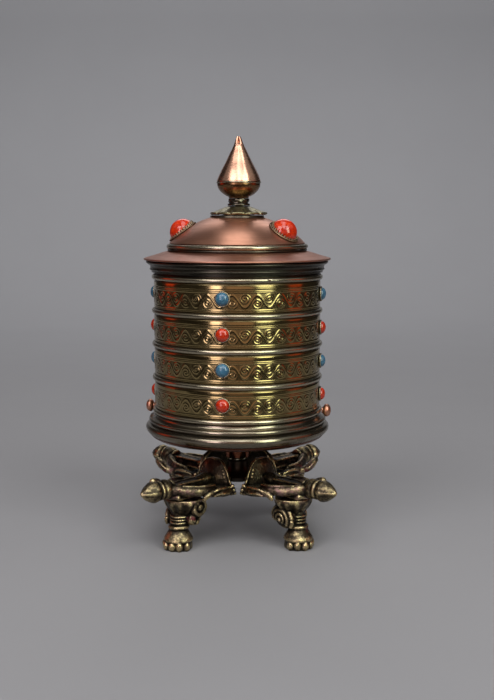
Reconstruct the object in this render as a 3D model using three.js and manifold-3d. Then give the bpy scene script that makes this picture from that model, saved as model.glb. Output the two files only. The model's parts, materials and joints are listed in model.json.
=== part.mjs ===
// A table prayer wheel: a copper and brass drum that turns on an upright spindle, carried by a cast
// brass stand in the form of a crossed double vajra on four lion-paw legs. Millimetres, +Z up, with
// the origin on the table under the spindle. The four arms of the stand lie on the diagonals.
import * as THREE from "three";
import { mergeVertices } from "three/addons/utils/BufferGeometryUtils.js";
import Module from "manifold-3d";

const wasm = await Module();
wasm.setup();

// ---------------------------------------------------------------- driving dimensions
const WALL_R = 41.6; // outside radius of the drum's wall
const SHEET = 0.8; // thickness of the copper and brass sheet
const GAP = 0.15; // air between coaxial pieces that touch on the real object
const SEAT = 0.3; // air between pieces that were brazed, pressed or screwed together
const RING_1_Z = 130.8; // middle of the top band ring
const RING_PITCH = 16.67; // from one band ring to the next
const RING_COUNT = 5;
const RING_PROUD = 1.05; // how far a band ring stands out of the wall
const RING_HALF = 1.35; // half the height of a band ring
const WALL_TOP = 132.4;
const WALL_FOOT = 62.7;
const LID_FOOT = 133.0; // underside of the cornice, where the lid leaves the drum
const BRIM_R = 46.5; // edge of the roof
const BRIM_Z = 139.5;
const DOME_BALL_R = 46.6; // the dome is a cap of this ball
const DOME_BALL_Z = 115.2;
const DOME_FOOT_R = 33.8;
const DOME_RING_Z = 145.65;
const LEDGE_RING_Z = 143.95;
const FINIAL_RIM_R = 11.1; // where the finial's cone meets its bowl
const FINIAL_RIM_Z = 177.3;
const SPINDLE_R = 2.0;
const SPINDLE_TIP = 119.2;
const BORE_R = 2.45; // bore of the guide bush round the spindle
const DRUM_FOOT = 50.4; // underside of the drum
const CORE_R = 4.0; // the copper tube that stands inside the drum round the spindle
const FINIAL_OFF = 0.8; // how far to the right of the axis the finial was brazed on
const STONE_R = 6.6; // the dome's stones are halves of a ball of this radius
const STONE_AT = 27.2; // from the axis to where such a stone stands on the dome
const STONE_SINK = 0.5; // how far the middle of its ball lies below the dome's surface
const STONE_UP = 50; // degrees by which it faces up
const HUB_R = 8.5;
const HUB_Z = [27.2, 31.0]; // foot and shoulder of the stand's hub
const NUT_R = 4.4;
const NUT_TOP = 29.6; // the nut lies in a recess in the hub's underside
const SOCKET_R = 5.0; // the hub's neck, which holds the spindle
const SOCKET_TOP = 37.5;
const BUSH_FOOT = 39.0;
const BUSH_TOP = 50.5;
const PETAL_FOOT = 26.4;
const PETAL_TOP = 41.0;
const ARM_Z = 31.0; // height of an arm's shaft
const ARM_TIP = 65.0; // from the spindle to the point of an arm
const LEG_U = 42.0; // from the spindle to the middle of a paw
const LEG_TOP = 25.2;
const ROUND = 32; // facets round the drum
const SMALL = 16; // facets round the small turned pieces

// Angles round the spindle, anticlockwise from +X seen from above.
const ARMS = { front_right: -45, back_right: 45, back_left: 135, front_left: 225 };
const COLUMNS = [-100.5, -10.5, 79.5, 169.5]; // the drum's four upright rows of stones
const KNOBS = [-10.5, 169.5];
const DOME_STONES = [181.0, -34.5, 73.0];

const COPPER = { color: 0xb5694c, roughness: 0.32, metalness: 1 };
const BRASS = { color: 0x8f8150, roughness: 0.3, metalness: 1 };
const BRONZE = { color: 0x3d3a33, roughness: 0.4, metalness: 1 };
const CAST_BRASS = { color: 0x7d6c43, roughness: 0.45, metalness: 1 };
const STEEL = { color: 0x8d8f92, roughness: 0.3, metalness: 1 };
const CORAL = { color: 0xd8331b, roughness: 0.25, metalness: 0 };
const TURQUOISE = { color: 0x3f83a6, roughness: 0.35, metalness: 0 };
const PAPER = { color: 0xd9cba6, roughness: 0.9, metalness: 0 };
const THREAD = { color: 0xa2202a, roughness: 0.85, metalness: 0 };

// ---------------------------------------------------------------- geometry helpers
const rad = THREE.MathUtils.degToRad;

// Points [r, z] of an arc of an ellipse about (r, z), angles in degrees from +r towards +z.
function arc(r, z, semiR, semiZ, from, to, steps) {
  const points = [];
  for (let i = 0; i <= steps; i++) {
    const a = rad(from + ((to - from) * i) / steps);
    points.push([r + semiR * Math.cos(a), z + semiZ * Math.sin(a)]);
  }
  return points;
}

// The height of the dome at a radius, on its own ball or on one smaller by an inset.
const domeZ = (r, inset = 0) => DOME_BALL_Z + Math.sqrt((DOME_BALL_R - inset) ** 2 - r ** 2);

function domeArc(from, to, steps, inset = 0) {
  const points = [];
  for (let i = 0; i <= steps; i++) {
    const r = from + ((to - from) * i) / steps;
    points.push([r, domeZ(r, inset)]);
  }
  return points;
}

// A body of revolution about +Z from a closed outline of [r, z], given either way round.
function revolve(outline, segments = ROUND) {
  let area = 0;
  outline.forEach(([r, z], i) => {
    const [r2, z2] = outline[(i + 1) % outline.length];
    area += r * z2 - r2 * z;
  });
  const points = area > 0 ? [...outline] : [...outline].reverse();
  const onAxis = points.findIndex((p, i) => p[0] === 0 && points.at(i - 1)[0] === 0);
  if (onAxis >= 0) points.unshift(...points.splice(onAxis)); // start and end on the axis
  else points.push(points[0]);
  const geometry = new THREE.LatheGeometry(
    points.map(([r, z]) => new THREE.Vector2(r, z)),
    segments,
  );
  return geometry.rotateX(Math.PI / 2);
}

function solid(geometry) {
  const bare = geometry.clone();
  bare.deleteAttribute("normal");
  bare.deleteAttribute("uv");
  const merged = mergeVertices(bare, 1e-4);
  const made = new wasm.Manifold(
    new wasm.Mesh({
      numProp: 3,
      vertProperties: merged.attributes.position.array,
      triVerts: new Uint32Array(merged.index.array),
    }),
  );
  return made;
}

function geometryOf(manifold) {
  const mesh = manifold.getMesh();
  return new THREE.BufferGeometry()
    .setAttribute("position", new THREE.BufferAttribute(mesh.vertProperties, 3))
    .setIndex(new THREE.BufferAttribute(mesh.triVerts, 1));
}

function box(u, w, z) {
  return new THREE.BoxGeometry(u[1] - u[0], w[1] - w[0], z[1] - z[0]).translate(
    (u[0] + u[1]) / 2,
    (w[0] + w[1]) / 2,
    (z[0] + z[1]) / 2,
  );
}

// A bar of round section along a smooth curve through points [x, y, z].
function bar(points, radius, steps, sides = 6) {
  const path = new THREE.CatmullRomCurve3(points.map((p) => new THREE.Vector3(...p)));
  const section = new THREE.Shape(
    Array.from({ length: sides }, (_, i) => {
      const a = (2 * Math.PI * i) / sides;
      return new THREE.Vector2(radius * Math.cos(a), radius * Math.sin(a));
    }),
  );
  return new THREE.ExtrudeGeometry(section, { steps, extrudePath: path, bevelEnabled: false });
}

// A turned form whose axis is +X, from an outline of [r, x].
const turnedAlongX = (outline, segments) => revolve(outline, segments).rotateY(Math.PI / 2);

const ball = (radius, across, down) => new THREE.SphereGeometry(radius, across, down);

// ---------------------------------------------------------------- the assembly
const wheel = new THREE.Group();

function add(parent, name, geometry, look) {
  const mesh = new THREE.Mesh(geometry, new THREE.MeshStandardMaterial(look));
  mesh.name = name;
  parent.add(mesh);
  return mesh;
}

// ---------------------------------------------------------------- lid
function finialCone() {
  const foot = FINIAL_RIM_Z + GAP;
  const flank = [[10.9, foot], [9.7, 180.1], [8.2, 183.5], [6.3, 187.2], [4.45, 191.2]];
  const point = [[2.9, 194.0], [2.0, 196.2], [1.4, 197.8], [0, 199.4]];
  const inside = [[0, 194.0], [3.5, 191.0], [8.6, 180.9], [10.1, foot]];
  return revolve([...flank, ...point, ...inside], SMALL);
}

function finialBowl() {
  const foot = 169.35;
  const outside = arc(0, FINIAL_RIM_Z - 0.6, FINIAL_RIM_R - 0.2, 7.6, -62, -5, 3);
  const rim = [[FINIAL_RIM_R, FINIAL_RIM_Z - 0.8], [FINIAL_RIM_R, FINIAL_RIM_Z], [10.0, FINIAL_RIM_Z]];
  const inside = arc(0, FINIAL_RIM_Z - 0.6, FINIAL_RIM_R - 1.2, 6.4, -5, -60, 2);
  return revolve([[2.1, foot], [4.9, foot], ...outside, ...rim, ...inside, [2.1, 170.6]], SMALL);
}

function finialNeck() {
  const band = [[5.2, 167.4], [5.2, 169.2], [2.1, 169.2], [2.1, 165.6]];
  return revolve([[5.5, 165.6], [5.5, 166.5], [4.8, 167.0], ...band], SMALL);
}

function lotusCap() {
  const petals = 11;
  const rim = [[14.1, 161.2], [14.1, 161.7], [11.9, 162.9]];
  const outside = [...rim, [9.8, 164.0], [7.2, 164.9], [5.0, 165.45]];
  const inside = [[2.1, 165.45], [2.1, 164.6], [5.0, 164.5], [9.3, 163.1], [13.0, 161.2]];
  const cap = revolve([...outside, ...inside], petals * 2);
  const at = cap.attributes.position;
  for (let i = 0; i < at.count; i++) {
    const x = at.getX(i);
    const y = at.getY(i);
    const r = Math.hypot(x, y);
    const notch = 1 - Math.cos(petals * Math.atan2(x, y)); // 0 along the petals, 2 between them
    const lobe = 1 - 0.03 * Math.max(0, (r - 9) / 5) * notch;
    at.setXY(i, x * lobe, y * lobe);
  }
  return cap;
}

function tieBolt() {
  const head = [[0, 158.2], [4.2, 158.2], [4.2, 160.4]];
  const outline = [...head, [1.8, 160.4], [1.8, 178.6], [0, 178.6]];
  return revolve(outline, 12);
}

function dome() {
  const collar = [[12.4, domeZ(12.4)], [12.4, 160.9], [13.4, 160.9], [13.4, domeZ(13.4)]];
  const outside = domeArc(17, DOME_FOOT_R, 4);
  const foot = [[32.6, 147.1], [32.6, 144.3], [31.8, 144.3], [31.8, 147.0]];
  const boltHole = 2.1 + FINIAL_OFF;
  const inside = domeArc(31.0, boltHole, 4, SHEET);
  return revolve([[boltHole, domeZ(boltHole)], ...collar, ...outside, ...foot, ...inside]);
}

const wireRing = (radius, z, tube) => revolve(arc(radius, z, tube, tube, 0, 288, 4));

function roof() {
  const top = [[31.8, 143.35], [35.0, 143.25], [44.9, 140.4], [46.2, 139.95], [BRIM_R, BRIM_Z]];
  const under = [[46.2, 138.95], [44.8, 139.0], [35.0, 142.3], [31.8, 142.4]];
  return revolve([...top, ...under]);
}

function cornice() {
  const spigotFoot = 127.5;
  const spigotR = WALL_R - SHEET - GAP;
  const lip = [[42.0, 138.7], [45.0, 138.7], [45.3, 138.1], [45.0, 137.2], [44.5, 136.9]];
  const cove = arc(46.0, 137.4, 3.3, 3.6, 190, 262, 3).map(([r, z]) => [r - 1.4, z]);
  const foot = [[42.6, 133.6], [42.6, LID_FOOT], [spigotR, LID_FOOT]];
  const spigot = [[spigotR, spigotFoot], [spigotR - SHEET, spigotFoot], [spigotR - SHEET, 136.0]];
  return revolve([...lip, ...cove, ...foot, ...spigot]);
}

// A piece of a dome stone's setting, pointing along +X from the middle of the stone's ball, cut to
// sit on the dome with a gap under it.
function seatedOnDome(geometry, gap) {
  const domeMiddle = new THREE.Vector3(-STONE_AT, 0, DOME_BALL_Z - domeZ(STONE_AT));
  domeMiddle.applyAxisAngle(new THREE.Vector3(0, 1, 0), rad(STONE_UP));
  domeMiddle.x += STONE_SINK;
  const domeBall = ball(DOME_BALL_R + gap, 64, 48).translate(...domeMiddle.toArray());
  return geometryOf(solid(geometry).subtract(solid(domeBall)));
}

function bezel() {
  const inner = STONE_R + SEAT;
  const outline = [[inner, -3], [7.6, -3], [7.6, -0.4], [7.2, 1.3], [inner, 1.3]];
  return seatedOnDome(turnedAlongX(outline, 20), GAP);
}

const domeCoral = () => seatedOnDome(ball(STONE_R, 16, 10).rotateZ(Math.PI / 2), SEAT);

function placeDomeStone(group, index, angle) {
  const place = new THREE.Group();
  const outward = new THREE.Group();
  place.rotation.z = rad(angle);
  outward.rotation.y = -rad(STONE_UP);
  outward.position.set(STONE_AT, 0, domeZ(STONE_AT));
  outward.translateX(-STONE_SINK);
  place.add(outward);
  group.add(place);
  add(outward, `dome_bezel_${index}`, bezel(), BRASS);
  add(outward, `dome_coral_${index}`, domeCoral(), CORAL);
}

function lid() {
  const group = new THREE.Group();
  const finial = new THREE.Group();
  finial.position.x = FINIAL_OFF;
  group.add(finial);
  add(finial, "finial_cone", finialCone(), COPPER);
  add(finial, "finial_bowl", finialBowl(), BRASS);
  add(finial, "finial_neck", finialNeck(), BRONZE);
  add(finial, "lotus_cap", lotusCap(), BRASS);
  add(finial, "tie_bolt", tieBolt(), STEEL);
  add(group, "dome", dome(), COPPER);
  add(group, "dome_ring", wireRing(34.0, DOME_RING_Z, 1.2), BRASS);
  add(group, "ledge_ring", wireRing(34.3, LEDGE_RING_Z, 0.45), BRASS);
  add(group, "roof", roof(), COPPER);
  add(group, "cornice", cornice(), BRONZE);
  DOME_STONES.forEach((angle, i) => placeDomeStone(group, i + 1, angle));
  return group;
}

// ---------------------------------------------------------------- drum
const drumWall = () => tube(WALL_R - SHEET, WALL_R, WALL_FOOT, WALL_TOP, ROUND);

const bandRing = (z) => revolve(arc(WALL_R + GAP, z, RING_PROUD, RING_HALF, -90, 90, 3));

function baseMoulding() {
  const neck = [[41.9, 62.5], [41.9, 61.9]];
  const cove = [[42.3, 61.1], [43.3, 60.4]];
  const upperBead = arc(43.6, 59.3, 1.1, 1.2, 75, -60, 2);
  const lowerBead = arc(44.1, 55.4, 2.1, 2.1, 60, -50, 3);
  const under = [[43.4, 51.4], [41.6, DRUM_FOOT], [39.9, DRUM_FOOT], [39.9, 62.5]];
  return revolve([...neck, ...cove, ...upperBead, ...lowerBead, ...under]);
}

const bottomPlate = () => tube(CORE_R + GAP, 39.7, 50.8, 52.0, ROUND);

const guideBush = () =>
  revolve([[BORE_R, BUSH_FOOT], [6.2, BUSH_FOOT], [7.2, BUSH_TOP], [BORE_R, BUSH_TOP]], SMALL);

const coreTube = () => tube(3.2, CORE_R, 50.8, 118.0, SMALL);

function pivotCup() {
  const recess = [[2.7, 118.15], [0, 119.6]]; // the spindle's point turns in this hollow
  return revolve([[0, 121.2], [4.0, 121.2], [4.6, 120.4], [4.6, 118.15], ...recess], SMALL);
}

const tube = (inner, outer, foot, top, segments) =>
  revolve([[inner, foot], [outer, foot], [outer, top], [inner, top]], segments);

const scroll = () => tube(4.2, 35.6, 54.0, 117.4, 24);

const scrollTie = (z) => tube(35.6 + GAP, 36.5, z - 1.4, z + 1.4, 24);

// A cabochon standing on its flat base at the origin, pointing along +X.
function cabochon(radius, height) {
  const girdle = 0.5;
  const crown = arc(0, girdle, radius, height - girdle, 0, 90, 2).slice(0, -1);
  return turnedAlongX([[0, 0], [radius, 0], ...crown, [0, height]], 10);
}

function addStones(group) {
  const kinds = [["turquoise", TURQUOISE], ["coral", CORAL]];
  for (let tier = 1; tier < RING_COUNT; tier++) {
    const z = RING_1_Z - RING_PITCH * (tier - 0.5);
    const [kind, look] = kinds[(tier - 1) % 2];
    COLUMNS.forEach((angle, i) => {
      const place = new THREE.Group();
      place.rotation.z = rad(angle);
      group.add(place);
      const stone = add(place, `${kind}_tier${tier}_${i + 1}`, cabochon(3.1, 2.6), look);
      stone.position.set(WALL_R + SEAT, 0, z);
    });
  }
}

function knob() {
  const stem = [[0, 0], [1.6, 0], [1.6, 0.5]];
  return turnedAlongX([...stem, ...arc(0, 2.4, 3.2, 2.1, -55, 90, 4).slice(0, -1), [0, 4.5]], 10);
}

function drum() {
  const group = new THREE.Group();
  add(group, "drum_wall", drumWall(), BRASS);
  for (let i = 0; i < RING_COUNT; i++)
    add(group, `band_ring_${i + 1}`, bandRing(RING_1_Z - RING_PITCH * i), BRASS);
  add(group, "base_moulding", baseMoulding(), BRASS);
  add(group, "bottom_plate", bottomPlate(), COPPER);
  add(group, "guide_bush", guideBush(), COPPER);
  add(group, "core_tube", coreTube(), COPPER);
  add(group, "pivot_cup", pivotCup(), STEEL);
  add(group, "mantra_scroll", scroll(), PAPER);
  add(group, "scroll_tie_upper", scrollTie(104), THREAD);
  add(group, "scroll_tie_lower", scrollTie(68), THREAD);
  addStones(group);
  KNOBS.forEach((angle, i) => {
    const place = new THREE.Group();
    place.rotation.z = rad(angle);
    group.add(place);
    const one = add(place, `spin_knob_${i + 1}`, knob(), COPPER);
    one.position.set(WALL_R + GAP + RING_PROUD + SEAT, 0, RING_1_Z - RING_PITCH * (RING_COUNT - 1));
  });
  return group;
}

// ---------------------------------------------------------------- stand
function spindle() {
  const foot = [[0, HUB_Z[0] + 0.2], [SPINDLE_R, HUB_Z[0] + 0.2]];
  return revolve([...foot, [SPINDLE_R, SPINDLE_TIP - 3.5], [0, SPINDLE_TIP]], SMALL);
}

function hub() {
  const bore = SPINDLE_R + SEAT;
  const recess = [[bore, NUT_TOP + GAP], [NUT_R + 0.7, NUT_TOP + GAP], [NUT_R + 0.7, HUB_Z[0]]];
  const skirt = [[HUB_R - 1.2, HUB_Z[0]], [HUB_R, HUB_Z[0] + 1.2]];
  const shoulder = [[HUB_R, HUB_Z[1] - 1.5], [HUB_R - 2, HUB_Z[1]], [SOCKET_R, 34.0]];
  return revolve([...recess, ...skirt, ...shoulder, [SOCKET_R, SOCKET_TOP], [bore, SOCKET_TOP]], SMALL);
}

const spindleNut = () => tube(SPINDLE_R + SEAT, NUT_R, HUB_Z[0] + 0.3, NUT_TOP, 6);

const thrustWasher = () =>
  tube(SPINDLE_R + SEAT, 4.6, SOCKET_TOP + SEAT, BUSH_FOOT - SEAT, SMALL);

// One petal of the lotus bud: the bud's shell, kept where it lies inside the petal's outline.
function petal() {
  const thick = 1.7;
  const flank = [[19.8, 31.5], [18.6, 36.0], [16.2, 39.2], [14.6, PETAL_TOP]];
  const profile = [[18.6, PETAL_FOOT], [19.7, 29.0], ...flank];
  const inner = profile.map(([r, z]) => [r - thick, z]).reverse();
  const shell = solid(revolve([...profile, ...inner], 24));
  const edge = [[11.2, 25], [11.5, 29], [10.9, 34], [7.6, 38.4]]; // half width at a height
  const otherEdge = edge.map(([w, z]) => [-w, z]).reverse();
  const side = new THREE.SplineCurve(
    [...edge, [0, 40.9], ...otherEdge].map(([w, z]) => new THREE.Vector2(w, z)),
  );
  const prism = new THREE.ExtrudeGeometry(new THREE.Shape(side.getPoints(8)), {
    depth: 24,
    bevelEnabled: false,
  });
  prism.rotateX(Math.PI / 2).rotateZ(Math.PI / 2); // the outline now stands across the arm
  return shell.intersect(solid(prism));
}

// The band under a petal, a sector of a ring.
function petalBand() {
  const ring = solid(revolve([[15.4, 24.6], [19.9, 24.6], [19.9, 28.8], [15.4, 28.8]], 24));
  const half = 16.2; // half the sector's width where it meets the ring's rim
  const wedge = new THREE.Shape([
    new THREE.Vector2(0, 0),
    new THREE.Vector2(23, -half),
    new THREE.Vector2(23, half),
  ]);
  const sector = new THREE.ExtrudeGeometry(wedge, { depth: 8, bevelEnabled: false });
  return ring.intersect(solid(sector.translate(0, 0, 23)));
}

// One half of the vajra's cage, on the side that sign gives: a horn from the petal's band, which
// droops to a claw, a strut from it to the collar, and a finger that stands out past the strut.
function cageSide(sign) {
  const horn = [[16.4, 11.4, 26.4], [22, 12.6, 26.8], [28.5, 12.8, 27.4], [34, 13.0, 25.2]];
  const strut = [[28, 11.4, 28.4], [37, 10.2, 29.0], [43.5, 6.2, 29.8], [49.5, 1.5, ARM_Z]];
  const finger = [[33, 12.6, 26.4], [38, 14.2, 27.6], [42, 14.6, 29.0], [45, 13.8, 30.6]];
  const sided = (points) => points.map(([u, w, z]) => [u, sign * w, z]);
  return [bar(sided(horn), 2.3, 3), bar(sided(strut), 2.2, 4), bar(sided(finger), 1.7, 3, 5)];
}

function bud() {
  const outline = [[0, 52.0], [3.0, 52.0], [4.7, 55.5], [4.1, 59.5], [2.4, 62.5], [0, ARM_TIP]];
  return turnedAlongX(outline, 8).translate(0, 0, ARM_Z);
}

function collar() {
  const outline = [[0, 47.5], ...arc(2.0, 50, 2.8, 2.3, -75, 75, 2), [0, 52.6]];
  return turnedAlongX(outline, 9).translate(0, 0, ARM_Z);
}

function arm() {
  const web = box([HUB_R + SEAT, 19], [-4, 4], [27.4, 30.6]);
  const shaft = box([18.4, 48.5], [-2.9, 2.9], [28.4, 33.2]);
  const pad = box([34, 46], [-5.4, 5.4], [LEG_TOP + SEAT, 29.0]);
  const pieces = [web, shaft, pad, ...cageSide(1), ...cageSide(-1), collar(), bud()].map(solid);
  return geometryOf([petal(), petalBand(), ...pieces].reduce((whole, part) => whole.add(part)));
}

// A leg stands at LEG_U, its paw pointing outwards along +X.
function leg() {
  const ankle = [[4.2, 9.4], [4.9, 9.9], [4.9, 11.3], [4.2, 11.9], [4.3, 16.0], [0, 16.0]];
  const pawAndAnkle = revolve([[0, 0], [7.0, 0], [7.5, 2.4], [6.4, 6.4], ...ankle], 10);
  const toeAngles = [-54, -18, 18, 54];
  const toes = toeAngles.map((angle) =>
    ball(2.5, 6, 4).scale(1, 1, 1.1).translate(6.4, 0, 2.75).rotateZ(rad(angle)),
  );
  const knee = ball(1, 9, 6).scale(7.6, 8.2, 8.2).translate(-1.5, 0, 20.6);
  const scrollBig = new THREE.CylinderGeometry(5.3, 5.3, 23.0, 10).translate(-2.4, 0, 0);
  const scrollSmall = new THREE.CylinderGeometry(2.4, 2.4, 20.0, 7).translate(-0.6, 0, 0);
  scrollBig.translate(0, 0, 20.0);
  scrollSmall.translate(0, 0, 14.6);
  const whole = [pawAndAnkle, ...toes, knee, scrollBig, scrollSmall]
    .map(solid)
    .reduce((all, part) => all.add(part));
  const room = solid(box([-20, 20], [-20, 20], [0, LEG_TOP]));
  return geometryOf(whole.intersect(room)).translate(LEG_U, 0, 0);
}

function stand() {
  const group = new THREE.Group();
  add(group, "spindle", spindle(), STEEL);
  add(group, "stand_hub", hub(), CAST_BRASS);
  add(group, "spindle_nut", spindleNut(), BRASS);
  add(group, "thrust_washer", thrustWasher(), BRASS);
  const armGeometry = arm();
  const legGeometry = leg();
  for (const [place, angle] of Object.entries(ARMS)) {
    const corner = new THREE.Group();
    corner.rotation.z = rad(angle);
    group.add(corner);
    add(corner, `vajra_arm_${place}`, armGeometry, CAST_BRASS);
    add(corner, `leg_${place}`, legGeometry, CAST_BRASS);
  }
  return group;
}

wheel.add(lid(), drum(), stand());

export default wheel;
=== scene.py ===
"""The surfaces of a table prayer wheel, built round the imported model.

Lengths are in millimetres until piece() or cast() turns them into metres. The frame's origin is on
the table under the spindle, with +Z up and the front towards -Y. Turned pieces are outlines of
(radius, height) spun round the spindle. The cast pieces of the stand are modelled once along +X, as
(u outwards, w across, z up), and then turned to the diagonal that each one lies on.
"""

import json
from math import atan2, cos, pi, radians, sin, sqrt

import bmesh
import bpy
import numpy as np
from mathutils import Matrix, Vector, noise


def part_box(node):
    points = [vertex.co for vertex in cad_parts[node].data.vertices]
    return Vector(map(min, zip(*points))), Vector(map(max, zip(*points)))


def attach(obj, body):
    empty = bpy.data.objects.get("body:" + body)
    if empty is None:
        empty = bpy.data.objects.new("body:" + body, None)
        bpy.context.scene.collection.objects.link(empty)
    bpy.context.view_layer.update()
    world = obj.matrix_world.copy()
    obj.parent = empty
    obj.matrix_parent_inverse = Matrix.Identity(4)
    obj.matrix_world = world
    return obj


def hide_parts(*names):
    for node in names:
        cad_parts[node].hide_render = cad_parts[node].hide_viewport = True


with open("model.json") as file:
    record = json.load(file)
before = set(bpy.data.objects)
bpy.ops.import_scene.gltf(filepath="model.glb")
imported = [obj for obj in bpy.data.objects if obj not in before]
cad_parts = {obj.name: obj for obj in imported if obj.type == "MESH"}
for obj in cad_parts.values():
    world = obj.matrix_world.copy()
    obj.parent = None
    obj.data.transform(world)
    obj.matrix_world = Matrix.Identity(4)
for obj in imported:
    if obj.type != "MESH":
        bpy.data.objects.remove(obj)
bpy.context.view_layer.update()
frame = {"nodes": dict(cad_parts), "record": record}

MM = 0.001
ROUND = 256  # facets round the large turned pieces
SMALL = 96  # facets round the small ones
WALL_FACETS = 900
VOXEL = 0.36  # cell of the remeshing that fuses a casting
FRONT = -pi / 2  # the angle of the front, anticlockwise from +X


# -------- places taken from the frame
def low(node):
    return Vector(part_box(node)[0]) / MM


def high(node):
    return Vector(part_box(node)[1]) / MM


def middle(node):
    return (low(node) + high(node)) / 2


def ends(node):
    """The heights of a node's foot and top."""
    return low(node).z, high(node).z


def azimuth(node):
    """The angle round the spindle at which a node lies."""
    x, y, _ = middle(node)
    return atan2(y, x)


RINGS = [f"band_ring_{i}" for i in range(1, 6)]
WALL_R = high("drum_wall").x
RING_R = high("band_ring_1").x
RING_Z = [middle(ring).z for ring in RINGS]
RING_HALF = (high("band_ring_1").z - low("band_ring_1").z) / 2
RING_GAP = RING_Z[0] - RING_Z[1]
BED = 0.35  # depth of the groove in which each band ring is bedded
RELIEF = 0.14  # depth of the embossing
BULGE = 0.16  # by how much a tier's middle stands out past its ends
FRIEZE_WAVES = 22  # half waves of the vine round the drum
SHEET = 0.8  # thickness of the copper and brass sheet
SEAT = 0.3  # air between pieces that were brazed, pressed or screwed together
DOME_BALL_R = 46.6  # the dome is a cap of this ball
DOME_BALL_Z = 115.2
DOME_RING_Z = middle("dome_ring").z
LEDGE_RING_Z = middle("ledge_ring").z
FINIAL_RIM_Z = high("finial_bowl").z
FINIAL_OFF = middle("finial_bowl").x
TIP_Z = high("finial_cone").z
LEG_U = middle("leg_front_right").xy.length
ARM_Z = 31.0
STONE_R = 6.6  # a dome stone is half of a ball of this radius
STONE_AT = 27.2  # from the spindle to where it stands on the dome
STONE_SINK = 0.5  # how far the middle of its ball lies below the dome's surface
STONE_UP = radians(50)  # the angle by which it faces up
ARM_TIP = high("vajra_arm_front_right").x * sqrt(2)
PAW_OUT = 1.6  # by how much the paw stands further out than the knee
# the angle of each arm, and which of its sides (+1, -1) faces left or right and carries a hook
CORNERS = {"front_right": -45, "back_right": 45, "back_left": 135, "front_left": 225}
HOOKS = {"front_right": (1,), "back_right": (-1,), "back_left": (1,), "front_left": (-1,)}


# -------- outlines and solids
def arc(r, z, semi_r, semi_z, start, end, steps=12):
    """Points of an arc of an ellipse about (r, z), angles in degrees from +r towards +z."""
    angles = np.radians(np.linspace(start, end, steps + 1))
    return [(r + semi_r * cos(a), z + semi_z * sin(a)) for a in angles]


def spline(points, steps=6):
    """A smooth curve through points of any dimension."""
    p = np.array([points[0], *points, points[-1]], float)
    t = np.linspace(0, 1, steps, endpoint=False)[:, None]
    curve = []
    for a, b, c, d in zip(p, p[1:], p[2:], p[3:]):
        bend = 2 * b + (c - a) * t + (2 * a - 5 * b + 4 * c - d) * t**2
        curve.append((bend + (3 * b - a - 3 * c + d) * t**3) / 2)
    return np.vstack([*curve, p[-1:]])


def unit(value):
    return np.clip(value, 0, 1)


def ridge(distance, width):
    return np.exp(-((distance / width) ** 2))


def smooth(points, steps):
    """The spline of an outline, as a list that can be joined to others."""
    return [tuple(p) for p in spline(points, steps)]


def grid(rows, columns, wrap_rows, wrap_columns):
    """The four-sided faces of a grid of points, which may close on itself either way."""
    i, j = np.meshgrid(
        np.arange(rows if wrap_rows else rows - 1),
        np.arange(columns if wrap_columns else columns - 1),
        indexing="ij",
    )
    i, j = i.ravel(), j.ravel()
    i2, j2 = (i + 1) % rows, (j + 1) % columns
    return np.stack([i * columns + j, i * columns + j2, i2 * columns + j2, i2 * columns + j], 1)


def turned(outline, facets=ROUND, shape=None):
    """A closed outline spun round +Z. shape(r, z, a) may move its points: it returns r, z, a."""
    points = np.array(outline, float)
    nxt = np.roll(points, -1, axis=0)
    if np.sum(points[:, 0] * nxt[:, 1] - nxt[:, 0] * points[:, 1]) < 0:
        points = points[::-1]
    a = np.linspace(0, 2 * pi, facets, endpoint=False)
    r, z, a = np.broadcast_arrays(points[:, :1], points[:, 1:], a[None, :])
    if shape:
        r, z, a = shape(r, z, a)
    vertices = np.stack([r * np.cos(a), r * np.sin(a), z], -1).reshape(-1, 3)
    return vertices, grid(len(points), facets, True, True)[:, ::-1]


def placed(solid, matrix):
    """A solid moved by a 4x4 matrix."""
    vertices, faces = solid
    m = np.array(matrix)
    return vertices @ m[:3, :3].T + m[:3, 3], faces


def along_x(outline, facets=SMALL, shape=None, at=(0, 0, 0)):
    """A turned form whose axis is +X, from an outline of (radius, x)."""
    return placed(
        turned(outline, facets, shape), Matrix.Translation(at) @ Matrix.Rotation(pi / 2, 4, "Y")
    )


def ellipsoid(centre, radii, tilt=0.0, facets=24):
    """An ellipsoid tilted about Y, in degrees."""
    outline = [(0, -1), *arc(0, 0, 1, 1, -84, 84, 14), (0, 1)]
    lean = Matrix.Rotation(radians(tilt), 4, "Y")
    pose = Matrix.Translation(centre) @ lean @ Matrix.Diagonal((*radii, 1))
    return placed(turned(outline, facets), pose)


def rod(points, radii, sides=14, steps=8):
    """A bar along a smooth curve. radii are its half thicknesses at the points."""
    path = spline(points, steps)
    thick = spline([(r,) for r in radii], steps)[:, 0]
    ahead = np.gradient(path, axis=0)
    ahead /= np.linalg.norm(ahead, axis=1)[:, None]
    across = np.cross(ahead, (0, 0, 1))
    across /= np.maximum(np.linalg.norm(across, axis=1), 1e-6)[:, None]
    up = np.cross(across, ahead)
    a = np.linspace(0, 2 * pi, sides, endpoint=False)
    ring = across[:, None] * np.cos(a)[None, :, None] + up[:, None] * np.sin(a)[None, :, None]
    body = path[:, None] + ring * thick[:, None, None]
    tail = path[:1] - ahead[:1] * thick[0] * 0.5
    head = path[-1:] + ahead[-1:] * thick[-1] * 0.5
    body = [np.repeat(tail, sides, 0), body.reshape(-1, 3), np.repeat(head, sides, 0)]
    return np.vstack(body), grid(len(path) + 2, sides, False, True)


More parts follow.
